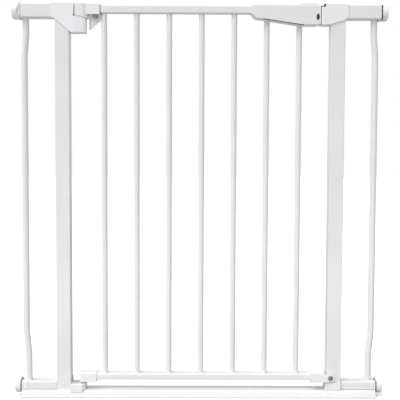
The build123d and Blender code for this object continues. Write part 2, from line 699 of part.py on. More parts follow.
with BuildPart() as handle_screws:
    for head_x, head_z in BOSSES:
        with BuildSketch(Plane.XZ.offset(-LATCH_D + 0.1)):
            with Locations((head_x, head_z)):
                Circle(2.8)
        extrude(amount=1.4)
        with BuildSketch(Plane.XZ.offset(-LATCH_D + 1.5)):
            with Locations((head_x, head_z)):
                Circle(1.6)
        extrude(amount=21.0)
save(handle_screws.part, "handle_screws")

# ---- thumb slide --------------------------------------------------------------------------------
with BuildPart() as thumb_slide:
    with BuildSketch(Plane.XZ):
        with BuildLine():
            Polyline((190.4, 765.6), (228.0, 765.6), (228.0, 768.2), (227.2, 769.0), (197.0, 769.0),
                     (190.4, 766.4), close=True)
        make_face()
        with Locations((203.0, 769.2), (206.0, 769.2), (209.0, 769.2), (212.0, 769.2)):
            Circle(0.7, mode=Mode.SUBTRACT)
    extrude(amount=8.0, both=True)
    with BuildSketch(Plane.XY.offset(762.0)):
        with Locations((226.3, 0)):
            Rectangle(21.4, 12.0)
    extrude(amount=3.1)
    with BuildSketch(Plane.XY.offset(765.0)):
        with Locations((219.6, 0)):
            Rectangle(7.0, 12.0)
    extrude(amount=0.8)
    with BuildSketch(Plane.XY.offset(759.5)):
        with Locations((200.0, 0)):
            Rectangle(6.0, 5.8)
    extrude(amount=6.3)
    with BuildSketch(Plane.XY.offset(759.0)):
        with Locations((200.0, 0)):
            Rectangle(11.0, 11.0)
    extrude(amount=3.7)
    chamfer(thumb_slide.edges().filter_by(Axis.Y).sort_by(Axis.X)[-2:], 0.8)
save(thumb_slide.part, "thumb_slide")

# ---- door stop at the foot of the latch side ----------------------------------------------------
with BuildPart() as door_foot_cap:
    with BuildSketch(Plane.XY.offset(30.4)):
        with Locations((234.1, -1.0)):
            RectangleRounded(27.6, 30.0, 2.0)
    extrude(amount=17.6)
    with BuildSketch(Plane.XZ.offset(15.2)):
        with Locations((223.3, 39.7)):
            Rectangle(6.0, 18.6)
        with Locations((STOP_X, STOP_Z)):
            Circle(7.2)
        make_hull()
    extrude(amount=4.8)
    with BuildSketch(Plane.YZ.offset(219.0)):
        with Locations((0, (SILL_Z0 + SILL_Z1) / 2)):
            RectangleRounded(SILL_D + 0.1, SILL_Z1 - SILL_Z0 + 0.1, 2.5)
    extrude(amount=21.2, mode=Mode.SUBTRACT)
    with BuildSketch(Plane.XZ.offset(10)):
        with Locations((STOP_X, STOP_Z)):
            Circle(1.75)
    extrude(amount=20, mode=Mode.SUBTRACT)
    with BuildSketch(Plane.XZ.offset(18.8)):
        with Locations((STOP_X, STOP_Z)):
            Circle(5.1)
    extrude(amount=5, mode=Mode.SUBTRACT)
save(door_foot_cap.part, "door_foot_cap")

with BuildPart() as stop_screw:
    with BuildSketch(Plane.XZ.offset(18.8)):
        with Locations((STOP_X, STOP_Z)):
            Circle(4.8)
    extrude(amount=1.9)
    fillet(stop_screw.edges().sort_by(Axis.Y)[0], 0.7)
    with BuildSketch(Plane.XZ.offset(19.6)):
        with Locations((STOP_X, STOP_Z)):
            Rectangle(5.6, 1.1)
            Rectangle(1.1, 5.6)
    extrude(amount=2, mode=Mode.SUBTRACT)
    with BuildSketch(Plane.XZ.offset(18.8)):
        with Locations((STOP_X, STOP_Z)):
            Circle(1.7)
    extrude(amount=-4.0)
save(stop_screw.part, "stop_screw")

with BuildPart() as stop_bumper:
    with BuildSketch(Plane.XZ.offset(14.4)):
        with Locations((STOP_X, STOP_Z)):
            Circle(5.5)
            Circle(1.75, mode=Mode.SUBTRACT)
    extrude(amount=0.8)
save(stop_bumper.part, "stop_bumper")
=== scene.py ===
import json
import math
import bpy
import bmesh
from mathutils import Matrix, Vector


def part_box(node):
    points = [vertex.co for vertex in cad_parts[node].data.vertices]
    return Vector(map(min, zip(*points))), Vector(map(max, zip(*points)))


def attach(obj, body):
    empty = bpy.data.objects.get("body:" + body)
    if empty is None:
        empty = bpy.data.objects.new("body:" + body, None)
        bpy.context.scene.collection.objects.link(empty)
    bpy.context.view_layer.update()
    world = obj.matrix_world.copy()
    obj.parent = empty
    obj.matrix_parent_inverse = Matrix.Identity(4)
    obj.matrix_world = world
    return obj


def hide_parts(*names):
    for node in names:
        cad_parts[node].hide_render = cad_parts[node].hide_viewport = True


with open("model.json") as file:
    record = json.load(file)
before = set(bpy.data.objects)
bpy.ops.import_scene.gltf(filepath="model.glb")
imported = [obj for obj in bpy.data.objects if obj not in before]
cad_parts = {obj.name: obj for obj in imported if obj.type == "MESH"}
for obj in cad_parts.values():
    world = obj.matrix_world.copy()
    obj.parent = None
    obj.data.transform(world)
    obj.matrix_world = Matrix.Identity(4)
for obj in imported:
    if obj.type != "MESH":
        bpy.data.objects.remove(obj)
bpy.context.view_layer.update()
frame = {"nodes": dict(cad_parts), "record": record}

NODES = frame["nodes"]
MM = 0.001

# ---- camera: place in metres, turns in degrees, focal length in pixels of an image this wide -----
CAMERA_PLACE = (-0.0126, -1.560, 0.4822)
CAMERA_YAW, CAMERA_PITCH, CAMERA_ROLL = 0.496, 3.428, 0.23
FOCAL_LENGTH = 797.4
IMAGE_WIDTH = 400
SENSOR_WIDTH = 36.0

# ---- places that the boxes of the nodes don't give ------------------------------------------------
SCREW_Z = {-1: (0.7335, 0.757), 1: (0.741, 0.757)}                      # cover screws, left and right
HANDLE_SCREWS = ((0.140, 0.7426), (0.172, 0.7386), (0.214, 0.735))      # x and z
NOTCH_END_X = 0.2407
NOTCH_FLOOR_Z = 0.7613
NOTCH_BACK_Y = 9.0 * MM
STEP_X = 0.2378                                                         # front step of the notch
POCKET_HALF = 6.7 * MM                                                  # closed pocket behind the notch
POCKET_TOP_Z = 0.76565
NOSE_Z = (0.76188, 0.76522)
NOSE_HALF = 6.15 * MM
CLAMP_X = (-0.2056, -0.1974)
HANDLE_EDGE = ((0.1205, 0.73883), (0.1330, 0.7371), (0.1714, 0.7312), (0.1964, 0.7280), (0.1995, 0.7280))
RELIEF_HOLE = (-0.2425, 0.7434)                                         # x and z

# ---- sizes of the added pieces --------------------------------------------------------------------
SHARP_ANGLE = 38                     # degrees between faces that stay a hard edge
THREAD_LEAD = 3.0 * MM
THREAD_DEPTH = 0.75 * MM
THREAD_STEP = 0.3 * MM
PLAIN_END = 8 * MM                   # shank with no thread, next to the pad
# Screws: head radius, head height, shank radius, shank length.
COVER_SCREW = (3.2 * MM, 1.75 * MM, 1.65 * MM, 5.4 * MM)
HANDLE_SCREW = (2.75 * MM, 1.3 * MM, 1.55 * MM, 20 * MM)
STOP_SCREW = (4.75 * MM, 1.85 * MM, 1.65 * MM, 3.9 * MM)
CLAMP_SCREW = (3.15 * MM, 2.9 * MM, 1.55 * MM, 5.8 * MM)
PLATE_HALF = 14.35 * MM              # half the width of a square backing plate
PLATE_CORNER = 3.0 * MM
PLATE_INSET = 0.05 * MM
PLATE_Z = {"upper_right": (0.7380, 0.7662), "lower_left": (0.0104, 0.0319), "lower_right": (0.0104, 0.0319)}
HOOD_WALL = 1.25 * MM
HOOD_FOOT_Z = 15.4 * MM


# ---- shader nodes --------------------------------------------------------------------------------
def graph(material):
    """Node tree of a material or world with its default nodes cleared."""
    material.use_nodes = True
    tree = material.node_tree
    tree.nodes.clear()
    return tree


def add_node(tree, kind, inputs=None, **settings):
    """New shader node. An input is a number, a colour, or a socket to link from."""
    made = tree.nodes.new(kind)
    for key, value in settings.items():
        setattr(made, key, value)
    for key, value in (inputs or {}).items():
        if isinstance(value, bpy.types.NodeSocket):
            tree.links.new(value, made.inputs[key])
        else:
            made.inputs[key].default_value = value
    return made


def noise(tree, where, scale, detail=2.0, roughness=0.5):
    return add_node(tree, "ShaderNodeTexNoise", {"Vector": where, "Scale": scale, "Detail": detail,
                                                 "Roughness": roughness}).outputs["Fac"]


def remap(tree, value, low, high, to_low, to_high):
    return add_node(tree, "ShaderNodeMapRange", {"Value": value, "From Min": low, "From Max": high,
                                                 "To Min": to_low, "To Max": to_high}).outputs[0]


def times(tree, a, b):
    return add_node(tree, "ShaderNodeMath", {0: a, 1: b}, operation="MULTIPLY").outputs[0]


def blend_colour(tree, factor, a, b):
    """Colour a where the factor is 0, colour b where it is 1."""
    mixer = add_node(tree, "ShaderNodeMix", {"Factor": factor}, data_type="RGBA")
    for socket, value in ((mixer.inputs[6], a), (mixer.inputs[7], b)):
        if isinstance(value, bpy.types.NodeSocket):
            tree.links.new(value, socket)
        else:
            socket.default_value = (*value, 1.0)
    return mixer.outputs[2]


def shade(k, colour):
    return tuple(min(1.0, k * c) for c in colour)


# ---- camera and studio ---------------------------------------------------------------------------
def place(name, data):
    """New object for a mesh, light or camera, linked to the scene."""
    made = bpy.data.objects.new(name, data)
    bpy.context.scene.collection.objects.link(made)
    return made


def make_camera():
    """Camera in front of the gate, below its top, turned slightly down and to the right."""
    yaw, pitch, roll = (math.radians(turn) for turn in (CAMERA_YAW, CAMERA_PITCH, CAMERA_ROLL))
    forward = Vector((math.sin(yaw) * math.cos(pitch), math.cos(yaw) * math.cos(pitch), -math.sin(pitch)))
    right = Vector((math.cos(yaw), -math.sin(yaw), 0))
    up = right.cross(forward)
    side = math.cos(roll) * right + math.sin(roll) * up
    top = -math.sin(roll) * right + math.cos(roll) * up
    data = bpy.data.cameras.new("camera")
    data.sensor_width = SENSOR_WIDTH
    data.lens = FOCAL_LENGTH * SENSOR_WIDTH / IMAGE_WIDTH
    camera = place("camera", data)
    turned = Matrix((side, top, -forward)).transposed().to_4x4()
    camera.matrix_world = Matrix.Translation(Vector(CAMERA_PLACE)) @ turned
    bpy.context.scene.camera = camera


def camera_switch(tree, others, camera, output):
    """Show one shader to the camera, and light everything else with the other."""
    rays = add_node(tree, "ShaderNodeLightPath")
    mixed = add_node(tree, "ShaderNodeMixShader",
                     {0: rays.outputs["Is Camera Ray"], 1: others.outputs[0], 2: camera.outputs[0]})
    add_node(tree, output, {"Surface": mixed.outputs[0]})


def make_world():
    """Big soft walls of light, brighter on the left and behind. The camera sees plain white."""
    world = bpy.data.worlds.new("studio")
    tree = graph(world)
    direction = add_node(tree, "ShaderNodeTexCoord").outputs["Generated"]
    axes = add_node(tree, "ShaderNodeSeparateXYZ", {"Vector": direction})
    sideways = remap(tree, axes.outputs["X"], -1.0, 1.0, 0.99, 0.64)
    depth = remap(tree, axes.outputs["Y"], -1.0, 1.0, 0.80, 1.0)
    lit = add_node(tree, "ShaderNodeBackground",
                   {"Color": (1, 1, 1, 1), "Strength": times(tree, sideways, depth)})
    seen = add_node(tree, "ShaderNodeBackground", {"Color": (1, 1, 1, 1), "Strength": 1.0})
    camera_switch(tree, lit, seen, "ShaderNodeOutputWorld")
    bpy.context.scene.world = world


def make_lights():
    """A wide soft light from above, and a low strip in front of the base bar."""
    sun = bpy.data.lights.new("skylight", "SUN")
    sun.energy = 2.0
    sun.angle = math.radians(40)
    skylight = place("skylight", sun)
    skylight.rotation_euler = Vector((0.36, 0.46, -0.81)).to_track_quat("-Z", "Y").to_euler()
    strip = bpy.data.lights.new("footlight", "AREA")
    strip.shape = "RECTANGLE"
    strip.size, strip.size_y = 2.2, 0.10
    strip.energy = 3.0
    strip.spread = math.radians(180)
    footlight = place("footlight", strip)
    footlight.location = (-0.15, -1.0, 0.06)
    footlight.visible_camera = False
    aim = Vector((0, 0, 0.10)) - Vector((-0.15, -1.0, 0.06))
    footlight.rotation_euler = aim.to_track_quat("-Z", "Y").to_euler()


def make_floor():
    """Pale floor for the camera, greyer for the light that it throws back on the gate."""
    reach = 14.0
    mesh = bpy.data.meshes.new("floor")
    mesh.from_pydata([(-reach, -reach, 0), (reach, -reach, 0), (reach, reach, 0), (-reach, reach, 0)], [],
                     [(0, 1, 2, 3)])
    floor = place("floor", mesh)
    material = bpy.data.materials.new("floor_paint")
    tree = graph(material)
    pale = add_node(tree, "ShaderNodeBsdfDiffuse", {"Color": (0.9, 0.9, 0.9, 1)})
    glow = add_node(tree, "ShaderNodeEmission", {"Color": (1, 1, 1, 1), "Strength": 0.30})
    both = add_node(tree, "ShaderNodeAddShader", {0: pale.outputs[0], 1: glow.outputs[0]})
    quiet = add_node(tree, "ShaderNodeBsdfDiffuse", {"Color": (0.40, 0.40, 0.40, 1)})
    camera_switch(tree, quiet, both, "ShaderNodeOutputMaterial")
    mesh.materials.append(material)


# ---- materials -----------------------------------------------------------------------------------
def begin(name):
    """New material, its empty node tree, and the coordinates that its patterns follow."""
    material = bpy.data.materials.new(name)
    tree = graph(material)
    return material, tree, add_node(tree, "ShaderNodeTexCoord").outputs["Object"]


def finish_surface(tree, inputs):
    """Principled shader with these inputs, tied to the material's output."""
    shader = add_node(tree, "ShaderNodeBsdfPrincipled", inputs)
    add_node(tree, "ShaderNodeOutputMaterial", {"Surface": shader.outputs[0]})


def relief(tree, strength, depth, height, rounding=0.0):
    """Normal with a fine relief, over edges softened by the given radius."""
    inputs = {"Strength": strength, "Distance": depth, "Height": height}
    if rounding:
        inputs["Normal"] = add_node(tree, "ShaderNodeBevel", {"Radius": rounding}, samples=4).outputs[0]
    return add_node(tree, "ShaderNodeBump", inputs).outputs[0]


def edge_mask(tree, radius, where):
    """1 on worn outer edges, broken up by noise, 0 on flat faces."""
    soft = add_node(tree, "ShaderNodeBevel", {"Radius": radius}, samples=4)
    hard = add_node(tree, "ShaderNodeNewGeometry")
    dot = add_node(tree, "ShaderNodeVectorMath", {0: soft.outputs[0], 1: hard.outputs["Normal"]},
                   operation="DOT_PRODUCT")
    bent = remap(tree, dot.outputs["Value"], 0.995, 0.88, 0.0, 1.0)
    broken = remap(tree, noise(tree, where, 170, 3), 0.42, 0.62, 0.0, 1.0)
    return times(tree, bent, broken)


def enamel(name, colour, scuffed=0.0):
    """Baked white enamel on steel: orange peel, faint mottling, thinner paint along the edges."""
    material, tree, where = begin(name)
    mottle = blend_colour(tree, remap(tree, noise(tree, where, 14, 4), 0.35, 0.65, 0.0, 1.0),
                          shade(0.972, colour), shade(1.012, colour))
    dust = remap(tree, noise(tree, where, 900, 2), 0.70, 0.76, 0.0, 0.35)
    base = blend_colour(tree, dust, mottle, shade(0.90, colour))
    worn = times(tree, edge_mask(tree, 0.9 * MM, where), 0.55)
    base = blend_colour(tree, worn, base, (0.66, 0.66, 0.655))
    gloss = remap(tree, noise(tree, where, 55, 4), 0.3, 0.7, 0.30, 0.42)
    if scuffed > 0:
        along = add_node(tree, "ShaderNodeMapping", {"Vector": where, "Scale": (0.08, 1.0, 1.0)}).outputs[0]
        streak = remap(tree, noise(tree, along, 700, 5, 0.65), 0.60, 0.72, 0.0, scuffed)
        base = blend_colour(tree, streak, base, shade(0.80, colour))
        gloss = add_node(tree, "ShaderNodeMath", {0: gloss, 1: times(tree, streak, 0.5)},
                         operation="ADD").outputs[0]
    peel = relief(tree, 0.10, 0.25 * MM, noise(tree, where, 360, 2), 0.6 * MM)
    finish_surface(tree, {"Base Color": base, "Roughness": gloss, "Normal": peel, "IOR": 1.50,
                          "Specular IOR Level": 0.42, "Coat Weight": 0.12, "Coat Roughness": 0.18})
    return material


def moulded(name, colour, rough=(0.40, 0.52), grain=0.12, coat=0.0, edge=(0.80, 0.80, 0.80)):
    """Injection-moulded plastic: fine spark-eroded grain, flow marks, rubbed edges."""
    material, tree, where = begin(name)
    stretched = add_node(tree, "ShaderNodeMapping", {"Vector": where, "Scale": (0.5, 1.0, 1.6)}).outputs[0]
    flow = remap(tree, noise(tree, stretched, 26, 5, 0.6), 0.3, 0.7, 0.0, 1.0)
    base = blend_colour(tree, flow, shade(0.975, colour), shade(1.012, colour))
    pores = remap(tree, noise(tree, where, 1500, 2), 0.68, 0.75, 0.0, 0.3)
    base = blend_colour(tree, pores, base, shade(0.88, colour))
    rubbed = times(tree, edge_mask(tree, 0.8 * MM, where), 0.4)
    base = blend_colour(tree, rubbed, base, edge)
    gloss = remap(tree, noise(tree, where, 80, 4), 0.3, 0.7, rough[0], rough[1])
    grained = relief(tree, grain, 0.12 * MM, noise(tree, where, 1100, 3), 0.6 * MM)
    finish_surface(tree, {"Base Color": base, "Roughness": gloss, "Normal": grained, "IOR": 1.49,
                          "Specular IOR Level": 0.45, "Coat Weight": coat, "Coat Roughness": 0.15})
    return material


def glossy(name, colour):
    """Moulded plastic from a polished tool."""
    return moulded(name, colour, rough=(0.28, 0.38), grain=0.05, coat=0.25)


def plated(name, colour, rough=(0.24, 0.42)):
    """Zinc plate: crystalline spangle, drawn lines and slight tarnish."""
    material, tree, where = begin(name)
    cells = add_node(tree, "ShaderNodeTexVoronoi", {"Vector": where, "Scale": 650.0}).outputs["Color"]
    grey = add_node(tree, "ShaderNodeRGBToBW", {"Color": cells}).outputs[0]
    base = blend_colour(tree, grey, shade(0.86, colour), shade(1.08, colour))
    tarnish = remap(tree, noise(tree, where, 120, 5, 0.6), 0.50, 0.72, 0.0, 0.5)
    base = blend_colour(tree, tarnish, base, shade(0.62, colour))
    gloss = remap(tree, noise(tree, where, 300, 3), 0.3, 0.7, rough[0], rough[1])
    drawn = relief(tree, 0.12, 0.08 * MM, noise(tree, where, 1400, 2), 0.2 * MM)
    finish_surface(tree, {"Base Color": base, "Roughness": gloss, "Normal": drawn, "Metallic": 1.0})
    return material


def rubber(name, colour):
    """Black rubber with a chalky bloom."""
    material, tree, where = begin(name)
    bloom = remap(tree, noise(tree, where, 210, 5, 0.65), 0.48, 0.74, 0.0, 0.30)
    base = blend_colour(tree, bloom, colour, shade(2.4, colour))
    gloss = remap(tree, noise(tree, where, 90, 3), 0.3, 0.7, 0.62, 0.84)
    skin = relief(tree, 0.25, 0.15 * MM, noise(tree, where, 900, 4))
    finish_surface(tree, {"Base Color": base, "Roughness": gloss, "Normal": skin,
                          "Specular IOR Level": 0.25})
    return material


def lens_material(name):
    """Dark green window: nearly black in the middle, green towards the rim."""
    material, tree, where = begin(name)
    low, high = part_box("indicator_lens")
    middle = (low + high) / 2
    across, along = 320, 160
    local = add_node(tree, "ShaderNodeMapping",
                     {"Vector": where, "Location": (-middle.x * across, 0, -middle.z * along),
                      "Scale": (across, 0, along)}).outputs[0]
    radius = add_node(tree, "ShaderNodeVectorMath", {0: local}, operation="LENGTH").outputs["Value"]
    rim = remap(tree, radius, 0.25, 0.85, 0.0, 1.0)
    base = blend_colour(tree, rim, (0.001, 0.004, 0.003), (0.004, 0.085, 0.056))
    speckled = blend_colour(tree, remap(tree, noise(tree, where, 700, 3), 0.45, 0.8, 0.0, 0.3), base,
                            (0.008, 0.06, 0.042))
    gloss = remap(tree, noise(tree, where, 260, 3), 0.3, 0.7, 0.08, 0.20)
    finish_surface(tree, {"Base Color": speckled, "Roughness": gloss, "IOR": 1.49, "Coat Weight": 0.6,
                          "Coat Roughness": 0.05})
    return material


FRAME_WHITE = (0.740, 0.748, 0.752)
DOOR_WHITE = (0.745, 0.752, 0.757)
WHITE = (0.800, 0.803, 0.818)
MATERIALS = {
    "frame_enamel": enamel("frame_enamel", FRAME_WHITE),
    "bar_enamel": enamel("threshold_enamel", shade(1.03, FRAME_WHITE), scuffed=0.35),
    "door_enamel": enamel("door_enamel", DOOR_WHITE),
    "white_plastic": moulded("white_plastic", WHITE),
    "white_gloss": glossy("white_gloss", WHITE),
    "handle_gloss": glossy("handle_gloss", shade(0.94, WHITE)),
    # Light grey; on the hinge gusset this grey is partly painted shade from the hinge arm above it.
    "grey_plastic": moulded("grey_plastic", (0.74, 0.75, 0.76)),
    "hinge_gloss": glossy("hinge_gloss", shade(1.03, WHITE)),
    # Near-black used only for painted shade: the notch liner, the strip under the handle and the plug in the
    # relief hole.
    "dark_plastic": moulded("dark_plastic", (0.030, 0.031, 0.033), edge=(0.06, 0.06, 0.06)),
    # Dark grey used only for painted shade at the hinge arm: the clamp block under it and the ring at its
    # end.
    "dark_grey": moulded("dark_grey", (0.24, 0.245, 0.25), edge=(0.35, 0.35, 0.35)),
    # Dark grey of the slide's nose shoe: painted shade for the shadowed notch.
    "nose_grey": moulded("nose_grey", (0.16, 0.165, 0.17), edge=(0.3, 0.3, 0.3)),
    "zinc": plated("zinc", (0.62, 0.63, 0.64)),
    "screw_steel": plated("screw_steel", (0.30, 0.31, 0.32), rough=(0.34, 0.5)),
    "black_rubber": rubber("black_rubber", (0.020, 0.021, 0.022)),
    "green_lens": lens_material("green_lens"),
}
# Nodes whose tone differs a little from the rest of their slot.
FINISH = {"base_bar": "bar_enamel", "handle_shell_front": "handle_gloss", "handle_shell_back": "handle_gloss",
          "hinge_housing": "hinge_gloss"}


def paint_nodes():
    """Give every CAD node the material of its slot, or its own tone of it."""
    for row in frame["record"]["subparts"]:
        node = NODES[row["node"]]
        node.data.materials.clear()
        node.data.materials.append(MATERIALS[FINISH.get(row["node"], row["material_slot"])])


# ---- mesh helpers --------------------------------------------------------------------------------
def outward_mesh(name, verts, faces, weld=0.0):
    """Mesh with its faces turned outwards. Points nearer than the weld distance are joined."""
    mesh = bpy.data.meshes.new(name)
    mesh.from_pydata([tuple(v) for v in verts], [], faces)
    work = bmesh.new()
    work.from_mesh(mesh)
    if weld:
        bmesh.ops.remove_doubles(work, verts=work.verts, dist=weld)
    bmesh.ops.recalc_face_normals(work, faces=work.faces)
    work.to_mesh(mesh)
    work.free()
    return mesh


def make_piece(name, verts, faces, material, body, slot, replaces=()):
    """Link a mesh, give it a finish, and tie it to its body."""
    mesh = outward_mesh(name, verts, faces, weld=1e-7)
    mesh.shade_smooth()
    mesh.set_sharp_from_angle(angle=math.radians(SHARP_ANGLE))
    mesh.materials.append(MATERIALS[material])
    piece = place(name, mesh)
    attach(piece, body)
    if replaces:
        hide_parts(*replaces)


class Pieces:
    """Collects the vertices and faces of several closed shapes for one mesh."""

    def __init__(self):
        self.verts = []
        self.faces = []

    def loft(self, rings, closed=False):
        """Skin equal rings of points. The ends are closed unless the last ring meets the first."""
        start = len(self.verts)
        count = len(rings[0])
        for ring in rings:
            self.verts.extend(ring)
        spans = len(rings) if closed else len(rings) - 1
        for i in range(spans):
            a = start + i * count
            b = start + (i + 1) % len(rings) * count
            for j in range(count):
                k = (j + 1) % count
                self.faces.append((a + j, a + k, b + k, b + j))
        if not closed:
            self.faces.append(tuple(start + j for j in reversed(range(count))))
            last = start + (len(rings) - 1) * count
            self.faces.append(tuple(last + j for j in range(count)))

    def make(self, name, *details, **options):
        make_piece(name, self.verts, self.faces, *details, **options)


def axes_of(direction):
    """Two unit vectors square to a direction."""
    direction = Vector(direction).normalized()
    helper = Vector((0, 0, 1)) if abs(direction.z) < 0.9 else Vector((1, 0, 0))
    first = direction.cross(helper).normalized()
    return first, direction.cross(first)


def circle(centre, direction, radius, count, wobble=0.0, seed=0.0):
    """Points round a centre, with a slow wobble in the radius if asked."""
    first, second = axes_of(direction)
    ring = []
    for i in range(count):
        angle = 2 * math.pi * i / count
        r = radius + wobble * (math.sin(7 * angle + seed) + 0.6 * math.sin(12 * angle + 2.3 * seed))
        ring.append(centre + r * (math.cos(angle) * first + math.sin(angle) * second))
    return ring


def arc(a, b, radius, start, turn, steps):
    """Points on an arc round (a, b), from a start angle through a turn, both in degrees."""
    angles = [math.radians(start + turn * i / steps) for i in range(steps + 1)]
    return [(a + radius * math.cos(angle), b + radius * math.sin(angle)) for angle in angles]


def lathe(pieces, centre, direction, profile, count=48):
    """Closed turned shape from (radius, height) points along a direction."""
    direction = Vector(direction).normalized()
    pieces.loft([circle(centre + h * direction, direction, r, count) for r, h in profile])


def rounded_box(pieces, low, high, radius, steps=4):
    """Block with rounded upright edges and softened ends, between two corners."""
    low, high = Vector(low), Vector(high)
    corners = ((high.x - radius, high.y - radius, 0), (low.x + radius, high.y - radius, 90),
               (low.x + radius, low.y + radius, 180), (high.x - radius, low.y + radius, 270))
    soft = radius * 0.35
    rings = []
    for z, inset in ((low.z, soft), (low.z + soft * 0.4, soft * 0.3), (low.z + soft, 0.0),
                     (high.z - soft, 0.0), (high.z - soft * 0.4, soft * 0.3), (high.z, soft)):
        rings.append([Vector((px, py, z)) for x, y, start in corners
                      for px, py in arc(x, y, radius - inset, start, 90, steps)])
    pieces.loft(rings)


def hollow_rect(pieces, x0, x1, inner, thickness):
    """Rectangular ring round a rail, with bevelled outer edges. inner: half depth, bottom, top."""
    half, z0, z1 = inner

    def ring(x, grow):
        return [Vector((x, y, z)) for y, z in ((-half - grow, z0 - grow), (half + grow, z0 - grow),
                                               (half + grow, z1 + grow), (-half - grow, z1 + grow))]
    bevel = thickness * 0.25
    pieces.loft([ring(x0, 0), ring(x0, thickness), ring(x1 - bevel, thickness), ring(x1, thickness - bevel),
                 ring(x1, 0)], closed=True)


# ---- threads and welds ---------------------------------------------------------------------------
def threaded_rods():
    """Trapezoidal thread on each pressure spindle, plain at the pad end, chamfered at the other."""
    count = 28
    for corner in ("upper_left", "upper_right", "lower_left", "lower_right"):
        low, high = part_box("spindle_" + corner)
        middle = (low + high) / 2
        radius = (high.y - low.y) / 2 - 0.02 * MM
        side = 1 if middle.x > 0 else -1
        inner = low.x if side > 0 else high.x
        length = high.x - low.x
        steps = int(length / THREAD_STEP)
        rings = []
        for i in range(steps + 1):
            travel = length * i / steps
            fade = min(1.0, max(0.0, (length - PLAIN_END - travel) / (2 * MM)))
            end = min(1.0, travel / (1.2 * MM))
            ring = []
            for j in range(count):
                angle = 2 * math.pi * j / count
                phase = (travel / THREAD_LEAD - side * j / count) % 1.0
                tooth = min(1.0, max(0.0, (0.5 - abs(phase - 0.5)) * 5.0 - 0.75))
                r = radius - THREAD_DEPTH * fade * (1 - tooth) - 0.8 * MM * (1 - end)
                ring.append(Vector((inner + side * travel, r * math.cos(angle),
                                    middle.z + r * math.sin(angle))))
            rings.append(ring)
        rod = Pieces()
        rod.loft(rings)
        rod.make("threaded_rod_" + corner, "zinc", "spindle_" + corner, "zinc",
                 replaces=("spindle_" + corner,))


def weld_ring(pieces, centre, up, radius, seed):
    """Small painted weld round the end of a tube: a hollow-sided ring, slightly lumpy."""
    up = Vector(up)
    size = 1.1 * MM
    profile = ((-0.4, 0.0), (-0.4, 1.05), (0.02, 1.0), (0.18, 0.62), (0.42, 0.30), (0.72, 0.10), (1.0, 0.0))
    rings = []
    for index, (out, rise) in enumerate(profile):
        wobble = 0.06 * MM if index > 2 else 0.0
        rings.append(circle(centre + rise * size * up, up, radius + out * size, 48, wobble, seed))
    pieces.loft(rings, closed=True)


def welds():
    """Welds where the bars and side tubes stand on the rails."""
    door = Pieces()
    for index in range(1, 8):
        low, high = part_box("door_bar_%d" % index)
        x, radius = (low.x + high.x) / 2, (high.x - low.x) / 2
        weld_ring(door, Vector((x, 0, low.z)), (0, 0, 1), radius, index * 1.7)
        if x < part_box("handle_shell_front")[0].x:
            weld_ring(door, Vector((x, 0, high.z)), (0, 0, -1), radius, index * 2.9)
    door.make("door_welds", "door_enamel", "door", "door_enamel")
    fixed = Pieces()
    for number, side in enumerate(("left", "right")):
        low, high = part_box("side_tube_" + side)
        radius = (high.y - low.y) / 2
        x = (high.x - radius) if side == "left" else (low.x + radius)
        weld_ring(fixed, Vector((x, 0, low.z)), (0, 0, 1), radius, 4.1 + number)
        top_x = x - 1.0 * MM if side == "left" else x + 1.0 * MM
        weld_ring(fixed, Vector((top_x, 0, high.z)), (0, 0, -1), radius, 6.3 + number)
    fixed.make("frame_welds", "frame_enamel", "frame", "frame_enamel")


# ---- screws --------------------------------------------------------------------------------------
def cross_head(radius, height):
    """Points and faces of a domed screw head on +Z with a tapered cross recess."""
    dome = Pieces()
    profile = [(radius * 0.93, 0.0), (radius, height * 0.16), (radius, height * 0.34)]
    for i in range(1, 7):
        turn = math.radians(90 * i / 7)
        profile.append((radius * (0.30 + 0.70 * math.cos(turn)), height * (0.34 + 0.66 * math.sin(turn))))
    profile.append((radius * 0.12, height))
    lathe(dome, Vector((0, 0, 0)), (0, 0, 1), profile, 40)
    cutter = Pieces()
    arm, half = radius * 0.60, radius * 0.14
    outline = [(arm, -half), (arm, half), (half, half), (half, arm), (-half, arm), (-half, half),
               (-arm, half), (-arm, -half), (-half, -half), (-half, -arm), (half, -arm), (half, -half)]
    cutter.loft([[Vector((x * k, y * k, z)) for x, y in outline]
                 for k, z in ((0.55, height * 0.25), (1.0, height * 0.95), (1.06, height * 1.5))])
    made = [place(name, outward_mesh(name, shape.verts, shape.faces))
            for name, shape in (("head_blank", dome), ("cross_cutter", cutter))]
    cut = made[0].modifiers.new("cut", "BOOLEAN")
    cut.operation, cut.object, cut.solver = "DIFFERENCE", made[1], "EXACT"
    bpy.context.view_layer.update()
    result = bpy.data.meshes.new_from_object(made[0].evaluated_get(bpy.context.evaluated_depsgraph_get()))
    points = [v.co.copy() for v in result.vertices]
    faces = [tuple(f.vertices) for f in result.polygons]
    for blank in made:
        bpy.data.objects.remove(blank)
    return points, faces


def screw(pieces, at, out, size, turn):
    """Head with a cross recess on a seat, facing out, and its shank behind."""
    radius, height, shank, length = size
    first, second = axes_of(out)
    out = Vector(out).normalized()
    points, faces = cross_head(radius, height)
    start = len(pieces.verts)
    c, s = math.cos(turn), math.sin(turn)
    for p in points:
        pieces.verts.append(at + (c * p.x - s * p.y) * first + (s * p.x + c * p.y) * second + p.z * out)
    pieces.faces.extend(tuple(start + i for i in face) for face in faces)
    lathe(pieces, at - length * out, out,
          [(shank * 0.5, 0), (shank, 0.6 * MM), (shank, length + 0.3 * MM)], 20)


